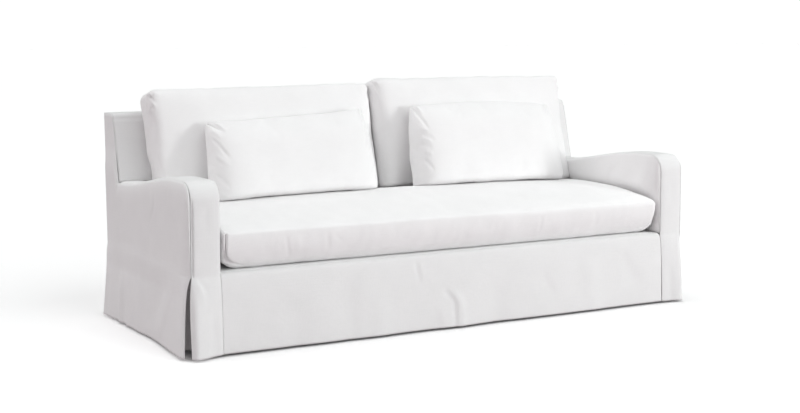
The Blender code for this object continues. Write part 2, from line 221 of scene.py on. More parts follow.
def fold_relief(places, folds):
    """How far these folds lift the cloth at each place. A fold is a path, its half widths to the
    path's left and right, its height, and the shares of its length that fade at its ends."""
    lift = np.zeros(len(places))
    for path, widths, height, fades in folds:
        (left, right), (start_fade, end_fade) = both(widths), both(fades)
        run = curve(path)
        spans = np.diff(run, axis=0)
        lengths = np.linalg.norm(spans, axis=1)
        starts = np.r_[0.0, np.cumsum(lengths)]
        margin = 3 * max(left, right)
        near = np.all((places > run.min(0) - margin) & (places < run.max(0) + margin), axis=1)
        spots = places[near]
        best = np.full(len(spots), 1e9)
        side, along = np.zeros(len(spots)), np.zeros(len(spots))
        for k, span in enumerate(spans):
            offset = spots - run[k]
            share = np.clip(offset @ span / max(lengths[k] ** 2, 1e-12), 0, 1)
            gap = np.linalg.norm(offset - share[:, None] * span, axis=1)
            nearer = gap < best
            best = np.where(nearer, gap, best)
            side = np.where(nearer, span[0] * offset[:, 1] - span[1] * offset[:, 0], side)
            along = np.where(nearer, (starts[k] + share * lengths[k]) / starts[-1], along)
        width = np.where(side > 0, left, right)
        fade = smoothstep(along / max(start_fade, 1e-6)) * smoothstep((1 - along) / max(end_fade, 1e-6))
        lift[near] += height * bell(best, width) * fade
    return lift


def uneven(points, pitch, height, seed):
    """Broad soft unevenness of hung cloth."""
    shift = Vector((seed * 7.31, seed * 3.17, seed * 5.77))
    return np.array([height * noise.noise(Vector(p) / pitch + shift) for p in points])


# ---- Sheets of cloth ----

SEAM_DIP = 0.0009  # how deep a sewn seam draws the cloth in
SEAM_REACH = 0.0022
HELD_REACH = 0.05  # how far from a held side the cloth lies even


def link(obj):
    bpy.context.scene.collection.objects.link(obj)


def new_object(name, points, faces):
    mesh = bpy.data.meshes.new(name)
    mesh.from_pydata(np.asarray(points).tolist(), [], np.asarray(faces).tolist())
    obj = bpy.data.objects.new(name, mesh)
    link(obj)
    return obj


def new_piece(name, points, faces, fabric, node):
    """A visible piece that stands for this node."""
    obj = new_object(name, points + ORIGIN, faces)
    obj.data.shade_smooth()
    obj.data.materials.append(fabric)
    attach(obj, "root")
    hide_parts(node)
    return obj


def surface(x, y, z):
    """A grid of points from coordinates that each run along its columns, its rows or both."""
    return np.stack(np.broadcast_arrays(x, y, z), axis=2)


# A panel's four sides, each as the grid's axis that it ends and whether it is the last there.
FIRST_COLUMN, LAST_COLUMN, FIRST_ROW, LAST_ROW = (0, False), (0, True), (1, False), (1, True)
ALL_BUT_FOOT = (FIRST_COLUMN, LAST_COLUMN, LAST_ROW)
ALL_SIDES = (*ALL_BUT_FOOT, FIRST_ROW)


def border_distance(grid, sides):
    """Each grid point's distance along the cloth to the nearest of these sides."""
    nearest = np.full(grid.shape[:2], 9.0)
    for axis, last in sides:
        run = np.flip(grid, axis) if last else grid
        lengths = np.linalg.norm(np.diff(run, axis=axis), axis=2)
        reach = np.cumsum(np.insert(lengths, 0, 0.0, axis=axis), axis=axis)
        nearest = np.minimum(nearest, np.flip(reach, axis) if last else reach)
    return nearest


def sheet(node, grid, outward, fabric, axes, folds=(), seams=(), held=ALL_SIDES, rough=0.0012, keep=None,
          swell=0):
    """One cloth panel from a grid of points on its outer face. axes are the two coordinates that
    place its folds, seams the sides that dip into a sewn seam, held the sides near which the
    cloth lies even, keep the cells that it has, and swell how far padding lifts it."""
    columns, rows = grid.shape[0] - 1, grid.shape[1] - 1
    normal = np.cross(np.gradient(grid, axis=0), np.gradient(grid, axis=1))
    normal /= np.maximum(np.linalg.norm(normal, axis=2, keepdims=True), 1e-12)
    turned = (normal * np.array(outward)).sum() < 0
    if turned:
        normal = -normal
    flat = grid.reshape(-1, 3)
    lift = fold_relief(flat[:, axes], folds)
    if rough:
        broad = uneven(flat, 0.17, rough, len(node)) + uneven(flat, 0.06, rough * 0.35, len(node) + 3)
        ease = smoothstep(border_distance(grid, held) / HELD_REACH).ravel()
        lift += broad * ease
    if seams:
        lift -= SEAM_DIP * bell(border_distance(grid, seams).ravel(), SEAM_REACH)
    lift += np.ravel(swell)
    points = flat + normal.reshape(-1, 3) * lift[:, None]
    first = np.arange(columns)[:, None] * (rows + 1) + np.arange(rows)
    corners = (0, 1, rows + 2, rows + 1) if turned else (0, rows + 1, rows + 2, 1)
    faces = first[:, :, None] + corners
    used, faces = np.unique(faces if keep is None else faces[keep], return_inverse=True)
    obj = new_piece(f"cloth_{node}", points[used], faces.reshape(-1, 4), fabric, node)
    thickness = obj.modifiers.new("thickness", "SOLIDIFY")
    thickness.thickness = CLOTH
    thickness.offset = -1.0
    thickness.use_even_offset = True
    return obj


SKIRT_ROWS = steps(0, (30, 0.215), (10, PLEAT_TOP_Z))
ARC_TURNS = np.linspace(0, pi / 2, 17)


def arm_outline(count=84):
    """Depths and heights of the arm's outer surface, from its front face round to the back."""
    arc_depth = ARM_CORNER * (1 - np.cos(ARC_TURNS))
    arc_z = ARM_CREST_Z - ARM_CORNER * (1 - np.sin(ARC_TURNS))
    top_depth = np.linspace(ARM_CORNER, back_face(ARM_LOW_Z), count + 1)[1:]
    return np.r_[arc_depth, top_depth], np.r_[arc_z, arm_top(top_depth)]


def back_turn(count=6):
    turns = np.linspace(0, pi / 2, count + 1)
    head = BACK_HEAD_DEPTH + BACK_ROUND
    return head - BACK_ROUND * np.cos(turns), BACK_TOP_Z - BACK_ROUND * (1 - np.sin(turns))


# Folds of each panel, given one by one. On the sides places are (depth, height).
SIDE_FOLDS = {"left": [
    ([(0.33, 0.545), (0.322, 0.487), (0.352, 0.44), (0.392, 0.398)], (0.004, 0.01), -0.0022, (0.2, 0.4)),
    ([(0.35, 0.545), (0.342, 0.487), (0.372, 0.44)], 0.012, 0.0016, (0.3, 0.5)),
    ([(0.183, 0.582), (0.184, 0.536), (0.186, 0.47)], (0.01, 0.005), -0.0014, (0.2, 0.6)),
    ([(0.69, 0.215), (0.682, 0.12), (0.672, -0.01)], (0.02, 0.016), 0.008, (0.5, 0)),
    ([(0.64, 0.15), (0.636, 0.06), (0.63, -0.01)], (0.02, 0.022), -0.006, (0.6, 0)),
    ([(0.1, 0.262), (0.165, 0.175), (0.225, 0.085), (0.285, 0.01)], (0.04, 0.03), 0.0045, (0.3, 0.2)),
    ([(0.18, 0.25), (0.27, 0.15), (0.38, 0.02)], (0.045, 0.035), -0.003, (0.4, 0.3)),
    ([(0.455, 0.34), (0.47, 0.21), (0.48, -0.01)], 0.04, 0.003, (0.6, 0)),
    ([(0.84, 0.27), (0.83, 0.13), (0.822, -0.01)], (0.024, 0.03), -0.005, (0.5, 0)),
], "right": [
    ([(0.026, 0.6), (0.022, 0.5), (0.024, 0.38), (0.03, 0.275)], (0.015, 0.013), -0.005, (0.1, 0.05)),
    ([(0.29, 0.24), (0.3, 0.13), (0.312, -0.01)], (0.024, 0.018), 0.0055, (0.5, 0)),
    ([(0.56, 0.235), (0.552, 0.12), (0.548, -0.01)], 0.03, -0.0045, (0.5, 0)),
    ([(0.7, 0.25), (0.712, 0.13), (0.722, -0.01)], (0.022, 0.03), 0.005, (0.5, 0)),
    ([(0.42, 0.5), (0.44, 0.44), (0.5, 0.4)], (0.008, 0.014), -0.002, (0.3, 0.4)),
]}
SIDE_PADDING = {"left": 0.014, "right": 0.0}
SIDE_PADDING_REACH = 0.085
SIDE_PADDING_Z = (0.19, 0.66)  # it fades out at these heights


def outside_arm(side, sign, fabric):
    skirt = SKIRTS[side]
    outline, turn = arm_outline(), back_turn()
    slope_z = np.linspace(ARM_LOW_Z, turn[1][0], 30)[1:-1]
    front = np.r_[outline[0], back_face(slope_z), turn[0]]
    tops = np.r_[outline[1], slope_z, turn[1]]
    reaches = np.array([0.052, 0.045, 0.038, 0.031, 0.025, 0.02, 0.015, 0.011, 0.007, 0.003, 0.0])
    tops = np.r_[tops, np.full(len(reaches), BACK_TOP_Z)]
    z = np.hstack([np.tile(SKIRT_ROWS, (len(tops), 1)),
                   PLEAT_TOP_Z + (tops - PLEAT_TOP_Z)[:, None] * np.linspace(0, 1, 37)[1:]])
    depth = np.tile(np.r_[front, np.zeros(len(reaches))][:, None], (1, z.shape[1]))
    depth[len(front):] = rear_face(z[len(front):]) - reaches[:, None]
    ahead, inward = folded(depth, FOLDS[f"side_front_{side}"], z)
    behind, curled = folded(rear_face(z) - depth, FOLDS["side_back"], z)
    ease = smoothstep(depth / CREASE_REACH) * smoothstep((rear_face(z) - depth) / CREASE_REACH)
    out = swing(skirt, depth / rear_face(z), z, ease) - inward - curled
    place = np.where(depth < FOLD_REACH, ahead, rear_face(z) - behind)
    grid = surface(sign * (HALF + out), place, z)
    off_seams = border_distance(grid, ALL_BUT_FOOT)
    rise = 1 - np.clip(off_seams / SIDE_PADDING_REACH, 0, 1)
    swell = SIDE_PADDING[side] * (1 - rise ** 3) ** 0.75
    swell *= smoothstep((z - SIDE_PADDING_Z[0]) / 0.09) * smoothstep((SIDE_PADDING_Z[1] - z) / 0.1)
    return sheet(f"outside_arm_{side}", grid, (sign, 0, 0), fabric, (1, 2), SIDE_FOLDS[side],
                 held=ALL_BUT_FOOT, swell=swell)


# On an arm's front places are (distance in from its outer edge, height).
ARM_FRONT_FOLDS = {"left": [
    ([(0.02, 0.268), (0.04, 0.235), (0.052, 0.205)], (0.01, 0.008), -0.0022, (0.1, 0.6)),
    ([(0.012, 0.262), (0.03, 0.215), (0.034, 0.15)], (0.008, 0.01), 0.002, (0.2, 0.5)),
    ([(0.06, 0.52), (0.052, 0.47), (0.058, 0.41)], (0.012, 0.018), -0.0012, (0.3, 0.4)),
    ([(0.078, 0.18), (0.07, 0.1), (0.072, -0.01)], (0.016, 0.02), -0.003, (0.6, 0)),
    ([(0.004, 0.55), (0.004, 0.41), (0.004, 0.268)], 0.0034, -0.0062, (0.2, 0.05)),
], "right": [
    ([(0.02, 0.268), (0.04, 0.235), (0.052, 0.205)], (0.01, 0.008), -0.0018, (0.1, 0.6)),
    ([(0.06, 0.5), (0.05, 0.45), (0.056, 0.39)], (0.012, 0.018), -0.0012, (0.3, 0.4)),
    ([(0.07, 0.18), (0.066, 0.1), (0.062, -0.01)], 0.018, -0.0035, (0.6, 0)),
]}
BOXING_CROWN = 0.005


def arm_forward(side, share, z):
    seam_end = SKIRTS["front"]["ends"][0 if side == "left" else 1]
    return between(FORWARD[side], seam_end, np.clip(share, 0, None) ** 1.2) * opening(z)


def arm_boxing(side, sign, fabric):
    outline = arm_outline()
    falling = np.r_[np.linspace(ARM_CREST_Z - ARM_CORNER, PLEAT_TOP_Z, 34)[1:], SKIRT_ROWS[-2::-1]]
    depth = np.r_[outline[0][::-1], np.zeros(len(falling))]
    z = np.r_[outline[1][::-1], falling]
    depth[0] -= CLOTH
    shares = steps(0, (8, 0.09), (6, 0.3), (8, 0.7), (5, 0.95), (3, 1))
    outer, inner = HALF - CLOTH - SEAM, INNER + CLOTH + SEAM
    depth, z = depth[:, None], z[:, None]
    width = outer - np.where(z > DECK_Z, inner, INNER + SEAM)
    reach, inward = folded(width * shares, FOLDS[f"arm_front_{side}"], z, width)
    share = reach / width
    crown = BOXING_CROWN * (1 - np.abs(2 * share - 1) ** 4)
    rise = np.where(depth < ARM_CORNER, smoothstep((z - ARM_CREST_Z + ARM_CORNER) / ARM_CORNER), 1.0)
    ahead = depth - arm_forward(side, share, z) - crown * (1 - rise) * (1 - opening(z)) + inward
    grid = surface(sign * (outer - reach), ahead, z + crown * rise)
    folds = [([(sign * (outer - p), q) for p, q in path], both(widths)[::-sign], height, fades)
             for path, widths, height, fades in ARM_FRONT_FOLDS[side]]
    return sheet(f"arm_boxing_{side}", grid, (0, -1, 0.5), fabric, (0, 2), folds,
                 held=(FIRST_COLUMN, FIRST_ROW, LAST_ROW), seams=(FIRST_ROW, LAST_ROW), rough=0.0008)


# The inside of an arm hollows behind its front seam. Places are (depth, height).
ARM_PADDING = 0.028
ARM_PADDING_Z = 0.41  # it swells from here up
INSIDE_ARM_FOLDS = [
    ([(0.016, 0.58), (0.015, 0.45), (0.016, 0.29)], (0.012, 0.008), -0.006, (0.15, 0.1)),
    ([(0.24, 0.56), (0.3, 0.5), (0.33, 0.43)], (0.02, 0.03), -0.0022, (0.3, 0.4)),
]


def inside_arm(side, sign, fabric):
    depths, tops = arm_outline(60)
    low = DECK_Z + SEAM
    z = low + (tops - SEAM - low)[:, None] * np.linspace(0, 1, 31)
    end = back_face(z) - CLOTH
    place = between(CLOTH + SEAM, end, (depths / depths[-1])[:, None])
    # The arm's padding swells a little above the seat, and is held flat along its seams.
    above = z - ARM_PADDING_Z
    swell = smoothstep(above / 0.07) * np.clip(1 - (above / (tops[:, None] - ARM_PADDING_Z)) ** 2, 0, 1)
    swell = swell * smoothstep((place - 0.012) / 0.08) * smoothstep((end - place) / 0.08)
    grid = surface(sign * (INNER - ARM_PADDING * swell), place, z)
    return sheet(f"inside_arm_{side}", grid, (-sign, 0, 0), fabric, (1, 2), INSIDE_ARM_FOLDS)


# ---- Deck, front, inside back and outside back ----

# On the front and back places are (X, height).
FRONT_FOLDS = [
    ([(-0.19, 0.262), (-0.182, 0.215), (-0.17, 0.16)], (0.004, 0.009), -0.003, (0.15, 0.5)),
    ([(-0.176, 0.258), (-0.166, 0.215), (-0.156, 0.175)], (0.01, 0.012), 0.0018, (0.2, 0.6)),
    ([(-0.075, 0.15), (-0.048, 0.118), (-0.028, 0.085), (-0.024, -0.01)],
     (0.004, 0.014), -0.0042, (0.15, 0)),
    ([(-0.052, 0.15), (-0.026, 0.118), (-0.004, 0.08), (0.004, -0.01)], (0.014, 0.03), 0.005, (0.3, 0)),
    ([(-0.12, 0.11), (-0.085, 0.06), (-0.07, -0.01)], (0.03, 0.02), 0.003, (0.5, 0)),
    ([(-0.7, 0.23), (-0.69, 0.12), (-0.68, -0.01)], (0.05, 0.06), -0.004, (0.5, 0)),
    ([(-0.48, 0.25), (-0.47, 0.13), (-0.466, -0.01)], (0.035, 0.055), -0.0042, (0.5, 0)),
    ([(-0.36, 0.2), (-0.35, 0.1), (-0.346, -0.01)], 0.04, 0.004, (0.5, 0)),
    ([(0.15, 0.2), (0.16, 0.1), (0.164, -0.01)], (0.04, 0.045), -0.0034, (0.5, 0)),
    ([(0.36, 0.19), (0.4, 0.11), (0.44, 0.05)], (0.02, 0.04), -0.003, (0.3, 0.4)),
    ([(0.56, 0.24), (0.6, 0.13), (0.615, -0.01)], (0.04, 0.035), 0.0034, (0.4, 0)),
    ([(0.76, 0.24), (0.79, 0.15), (0.86, 0.06)], (0.03, 0.035), -0.0028, 0.3),
]
BACK_FOLDS = [
    ([(-0.62, 0.33), (-0.612, 0.18), (-0.606, -0.01)], (0.035, 0.028), 0.005, (0.5, 0)),
    ([(-0.33, 0.3), (-0.34, 0.16), (-0.346, -0.01)], 0.04, -0.005, (0.5, 0)),
    ([(0.12, 0.31), (0.112, 0.15), (0.108, -0.01)], (0.03, 0.04), 0.0055, (0.5, 0)),
    ([(0.48, 0.3), (0.492, 0.15), (0.498, -0.01)], (0.04, 0.032), -0.0048, (0.5, 0)),
    ([(0.72, 0.33), (0.716, 0.18), (0.712, -0.01)], (0.03, 0.034), 0.0046, (0.5, 0)),
    ([(-0.9, 0.7), (-0.7, 0.64), (-0.42, 0.62)], (0.02, 0.03), -0.0022, (0.3, 0.4)),
    ([(0.86, 0.69), (0.64, 0.61), (0.45, 0.6)], (0.03, 0.02), -0.002, (0.3, 0.4)),
]


def deck(fabric):
    x = np.linspace(-(INNER - SEAM), INNER - SEAM, 65)[:, None]
    depth = np.linspace(RAIL_ROUND + 4 * SEAM, BACK_FOOT_DEPTH - CLOTH, 25)
    return sheet("deck", surface(x, depth, DECK_Z), (0, 0, 1), fabric, (0, 1), rough=0)


def front_panel(fabric):
    turns = np.linspace(0, pi / 2, 9)
    rail_depth = RAIL_ROUND * (1 - np.cos(turns))
    rail_z = DECK_Z - RAIL_ROUND * (1 - np.sin(turns))
    heights = np.r_[SKIRT_ROWS[SKIRT_ROWS < rail_z[0] - 0.003], rail_z]
    depths = np.r_[np.zeros(len(heights) - len(rail_depth)), rail_depth]
    near_seam = np.array([0.0, 0.0015, 0.003, 0.005, 0.008])
    x = np.r_[near_seam, np.linspace(0.013, 2 * INNER - 0.013, 240), 2 * INNER - near_seam[::-1]] - INNER
    out = swing(SKIRTS["front"], ((x + INNER) / (2 * INNER))[:, None], heights)
    grid = surface(x[:, None], depths - out, heights)
    return sheet("front_panel", grid, (0, -1, 0.2), fabric, (0, 2), FRONT_FOLDS,
                 seams=(FIRST_COLUMN, LAST_COLUMN), held=ALL_BUT_FOOT)


WING_ROUND, WING_SUNK = 0.016, 0.0008


def inside_back(fabric):
    reach, narrow = HALF - CLOTH - SEAM, INNER - SEAM
    wing = np.linspace(narrow, reach, 15)
    x = np.r_[-wing[::-1], np.linspace(-narrow, narrow, 141)[1:-1], wing]
    turn_depth, turn_z = back_turn(8)
    below_wings = 20
    low_z = steps(DECK_Z + SEAM, (below_wings, ARM_LOW_Z + SEAM), (30, turn_z[0]))[:-1]
    top_depth = np.linspace(turn_depth[-1], rear_face(BACK_TOP_Z) - SEAM, 9)[1:]
    depth = np.r_[back_face(low_z), turn_depth, top_depth]
    z = np.r_[low_z, turn_z, np.full(len(top_depth), BACK_TOP_Z)]
    # The end of the left wing rounds over to the seam with the outside panel.
    edge = np.clip(1 - (reach - np.abs(x)) / WING_ROUND, 0, 1)[:, None] ** 2
    high = smoothstep((z - ARM_LOW_Z) / 0.02)
    sunk = WING_SUNK * edge * high * (x < 0)[:, None]
    grid = surface(x[:, None], depth + sunk * (z < BACK_TOP_Z), z - sunk * (depth > BACK_HEAD_DEPTH + 0.004))
    keep = np.ones((len(x) - 1, len(z) - 1), bool)
    keep[:len(wing) - 1, :below_wings] = False
    keep[1 - len(wing):, :below_wings] = False
    return sheet("inside_back", grid, (0, -1, 0.4), fabric, (0, 2), keep=keep)


def outside_back(fabric):
    heights = np.r_[SKIRT_ROWS[::2], np.linspace(PLEAT_TOP_Z, BACK_TOP_Z - SEAM - CLOTH, 42)[1:]]
    reach = HALF - CLOTH - SEAM
    edges = steps(0, (10, 0.034), (15, 0.25))
    across = np.r_[edges, np.linspace(0.25, 2 * reach - 0.25, 111)[1:-1], 2 * reach - edges[::-1]]
    at, z = across[:, None], heights
    flip = at > reach
    along, inward = folded(np.where(flip, 2 * reach - at, at), FOLDS["back"], z)
    x = np.where(flip, reach - along, along - reach)
    ease = smoothstep(at / CREASE_REACH) * smoothstep((2 * reach - at) / CREASE_REACH)
    out = swing(SKIRTS["back"], at / (2 * reach), z, ease) - inward
    grid = surface(x, rear_face(z) + out, z)
    return sheet("outside_back", grid, (0, 1, 0), fabric, (0, 2), BACK_FOLDS, held=ALL_BUT_FOOT)


# ---- The pleats' gussets ----

GUSSETS = {
    "front": {"along_side": 0.125, "along_end": 0.092, "bow": 0.04},
    "back": {"along_side": 0.18, "along_end": 0.14, "bow": 0.034},
}
GUSSET_HEM_Z = 0.004
GUSSET_EASES = (0.0042, 0.0008)


def gusset(end, side, sign, fabric):
    path, skirt, back = GUSSETS[end], SKIRTS[side], end == "back"
    z = np.r_[GUSSET_HEM_Z, SKIRT_ROWS[1:-2], PLEAT_TOP_Z - 0.008]
    turn = np.linspace(0, pi / 2, 25)[:, None]
    wide = between(0.4, 1.0, parting(z))
    side_y, end_x = path["along_side"] * wide, path["along_end"] * wide
    share = side_y / rear_face(z)
    if back:
        side_out = swing(skirt, 1 - share, z)
        end_out = swing(SKIRTS["back"], (HALF + sign * (HALF - end_x)) / LENGTH, z)
    else:
        side_out = swing(skirt, share, z)
        end_out = arm_forward(side, end_x / ARM_WIDTH, z)
    side_x, end_y = CLOTH + GUSSET_EASES[0] - side_out, CLOTH + GUSSET_EASES[1] - end_out
    bow = path["bow"] * wide * np.sin(2 * turn)
    x = side_x * np.cos(turn) + end_x * (1 - np.cos(turn)) + bow
    y = end_y * np.sin(turn) + side_y * (1 - np.sin(turn)) + bow
    grid = surface(sign * (HALF - x), rear_face(z) - y if back else y, z)
    return sheet(f"pleat_gusset_{end}_{side}", grid, (sign, 1 if back else -1, 0), fabric, (0, 2), rough=0)


# ---- Cushions ----

SEAT = {"half_width": 0.945, "front": 0.004, "rear": 0.688, "edge": 0.15, "crown": 0.024, "dome": 0.026}
SEAT_DRAWN = 0.3
SEAT_END_SEAM = [
    ([(-0.936, 0.44), (-0.938, 0.38), (-0.935, 0.34), (-0.922, 0.316), (-0.895, 0.301), (-0.85, 0.293)],
     (0.0035, 0.0045), -0.016, (0.08, 0.4)),
]
SEAT_FOLDS = [
    ([(-0.712, 0.4), (-0.704, 0.355), (-0.688, 0.308)], (0.004, 0.007), -0.0024, 0.3),
    ([(-0.672, 0.4), (-0.664, 0.36), (-0.66, 0.32)], 0.012, 0.0016, 0.4),
    ([(-0.552, 0.4), (-0.546, 0.36), (-0.538, 0.32)], (0.004, 0.008), -0.0024, 0.3),
    ([(-0.53, 0.388), (-0.508, 0.368), (-0.484, 0.346)], (0.006, 0.005), -0.0018, (0.3, 0.4)),
    ([(0.364, 0.395), (0.366, 0.36), (0.368, 0.318)], 0.004, -0.0022, 0.3),
    ([(-0.35, 0.33), (-0.3, 0.318), (-0.24, 0.326)], 0.01, 0.0014, 0.4),
    ([(0.62, 0.4), (0.632, 0.36), (0.64, 0.32)], (0.01, 0.008), -0.0012, 0.3),
]
BACK_CUSHIONS = {
    "left": {"half_width": 0.468, "heights": (0.409, 0.418), "arch": -0.002, "over": 0.014},
    "right": {"half_width": 0.468, "heights": (0.437, 0.426), "arch": 0.002, "over": 0.004},
}
BACK_EDGE, BACK_PUFF = 0.145, 0.055
BACK_DRAWN = (0.25, 0.25, 0.0)
INNER_EDGE = {"left": -0.03, "right": 0.03}  # how much thicker each is where the two meet
INNER_REACH = {"left": 0.01, "right": 0.006}  # how much further each comes there
# A lumbar pillow's left and right ends, each as its X at the top and at the foot, its seam's depth
# at the foot, its height at each end, and how far its top arches.
LUMBARS = {
    "left": {"ends": ((-0.777, -0.799), (-0.121, -0.121)), "foot": 0.488,
             "heights": (0.302, 0.329), "arch": -0.006, "spread": 0.024},
    "right": {"ends": ((0.124, 0.078), (0.815, 0.8)), "foot": 0.484,
              "heights": (0.33, 0.331), "arch": 0.014, "spread": 0.0},
}
OTHER = {"left": "right", "right": "left"}
LUMBAR_LEAN = radians(17)
LUMBAR_EDGE, LUMBAR_FRONT, LUMBAR_REAR = 0.012, 0.098, 0.039
LUMBAR_SLUMP = 0.03
LUMBAR_REST = 0.002  # how softly its foot settles on the seat
LUMBAR_HEAD_BACK = 0.014  # the seam at its head lies back on the cushion


class Lattice:
    """The outside of a box of cells: its corners' places from -1 to 1, its faces and its edges."""

    def __init__(self, cells):
        self.cells = np.array(cells)
        ids = np.full(self.cells + 1, -1)
        on_face = np.zeros(self.cells + 1, bool)
        for axis in range(3):
            for end in (0, self.cells[axis]):
                on_face[tuple(end if k == axis else slice(None) for k in range(3))] = True
        self.at = np.argwhere(on_face)
        ids[tuple(self.at.T)] = np.arange(len(self.at))
        self.ids = ids
        self.unit = self.at / self.cells * 2.0 - 1.0
        faces = []
        for axis in range(3):
            for end in (0, self.cells[axis]):
                plane = np.take(ids, end, axis=axis)
                quads = np.stack([plane[:-1, :-1], plane[1:, :-1], plane[1:, 1:], plane[:-1, 1:]], axis=2)
                quads = quads.reshape(-1, 4)
                outward = (end > 0) != (axis == 1)
                faces.append(quads if outward else quads[:, ::-1])
        self.faces = np.concatenate(faces)
        pairs = np.concatenate([self.faces[:, [k, (k + 1) % 4]] for k in range(4)])
        self.edges = np.unique(np.sort(pairs, axis=1), axis=0)

    def smooth(self, values, times):
        """These values after each has moved towards its neighbours' average so many times."""
        a, b = self.edges.T
        count = np.bincount(np.r_[a, b], minlength=len(self.at))[:, None]
        for _ in range(times):
            total = np.zeros_like(values)
            np.add.at(total, a, values[b])
            np.add.at(total, b, values[a])
            values = 0.5 * values + 0.5 * total / count
        return values

    def finer(self, values, fine):
        """These values on a lattice with twice the cells."""
        low, high = fine.at // 2, (fine.at + 1) // 2
        total = np.zeros((len(fine.at), values.shape[1]))
        for pick in np.ndindex(2, 2, 2):
            corner = np.where(np.array(pick, bool), high, low)
            total += values[self.ids[tuple(corner.T)]]
        return total / 8

    def normals(self, points):
        a, b, c, d = (points[self.faces[:, k]] for k in range(4))
        face = np.cross(c - a, d - b)
        total = np.zeros_like(points)
        for k in range(4):
            np.add.at(total, self.faces[:, k], face)
        return total / np.maximum(np.linalg.norm(total, axis=1, keepdims=True), 1e-12)


def rim(unit, half):
    """Each place's distance in metres from the nearest of a cushion's ends and long edges."""
    return np.minimum((1 - np.abs(unit[:, 0])) * half[0], (1 - np.abs(unit[:, 1])) * half[1])


def closer(unit, share):
    """Places from -1 to 1 that lie closer together towards the ends, by this share of them."""
    return unit * (1 + share * (1 - unit * unit))


def rounded(unit, half, radii, power):
    """Box corners' places from -1 to 1 after the box's edges are rounded: half is the box's half
    size, and a higher power keeps an edge crisper."""
    half, radii = np.array(half), np.stack(np.broadcast_arrays(*radii, unit[:, 0])[:3], axis=1)
    place = unit * half
    core = np.clip(place, radii - half, half - radii)
    off = (place - core) / radii
    power = np.broadcast_to(power, len(unit))[:, None]
    size = np.maximum((np.abs(off) ** power).sum(axis=1, keepdims=True), 1e-12) ** (1 / power)
    largest = np.abs(off).max(axis=1, keepdims=True)
    return (core + radii * off * (largest / size)) / half


def seat_top(x, depth):
    a = np.clip(np.abs(x) / SEAT["half_width"], 0, 1)
    b = np.clip(between(-1, 1, (depth - SEAT["front"]) / (SEAT["rear"] - SEAT["front"])), -1.0, 1.0)
    crown = SEAT["crown"] * (1 - np.abs(b - 0.15) ** 2.2)
    return DECK_Z + SEAM + SEAT["edge"] + crown + SEAT["dome"] * (1 - a ** 4) * (1 - b * b)


BAG = {
    "quality": 5, "mass": 0.25, "tension_stiffness": 20, "compression_stiffness": 20, "shear_stiffness": 8,
    "bending_stiffness": 0.4, "use_pressure": True, "uniform_pressure_force": 4,
    "vertex_group_shrink": "seam", "shrink_max": 0.03,
}
BAG_FRAMES = 20
BAG_CAP = 0.012  # the furthest that a bag's wrinkle moves it


def wrinkles(name, lattice, points, slack, seam_weight):
    """What a moment as an inflated cloth bag does to this surface, without its overall swelling."""
    scene = bpy.context.scene
    bag = new_object(name, points, lattice.faces)
    mesh = bag.data
    group = bag.vertex_groups.new(name="seam")
    for index, weight in enumerate(seam_weight):
        group.add([index], float(weight), "REPLACE")
    cloth = bag.modifiers.new("cloth", "CLOTH")
    for setting, value in BAG.items():
        setattr(cloth.settings, setting, value)
    cloth.settings.shrink_min = -slack
    cloth.settings.effector_weights.gravity = 0
    cloth.point_cache.frame_start = 1
    cloth.point_cache.frame_end = BAG_FRAMES
    for number in range(1, BAG_FRAMES + 1):
        scene.frame_set(number)
    graph = bpy.context.evaluated_depsgraph_get()
    moved = np.empty(len(points) * 3)
    bag.evaluated_get(graph).data.vertices.foreach_get("co", moved)
    bpy.data.objects.remove(bag)
    bpy.data.meshes.remove(mesh)
    scene.frame_set(1)
    shift = moved.reshape(-1, 3) - points
    shift -= lattice.smooth(shift, 60)
    size = np.linalg.norm(shift, axis=1, keepdims=True)
    return shift * np.minimum(1.0, BAG_CAP / np.maximum(size, 1e-9))


def cushion(node, cells, shape, relief, off_seam, fabric, slack, drawn, gain):
    """A filled cushion: a lattice shaped by shape(unit), with a simulated bag's wrinkles and then
    relief(unit, points), its seams and folds, along its normals. off_seam(unit) is the distance
    from the seam, and drawn how wide a strip along it is drawn in."""
    coarse, fine = Lattice(cells), Lattice(np.array(cells) * 2)
    rest = shape(coarse.unit)
    seam_weight = bell(off_seam(coarse.unit), drawn)
    shift = wrinkles(f"bag_{node}", coarse, rest, slack, seam_weight) * gain
    points = shape(fine.unit) + fine.smooth(coarse.finer(shift, fine), 3)
    points += fine.normals(points) * relief(fine.unit, points)[:, None]
    new_piece(f"filled_{node}", points, fine.faces, fabric, node)


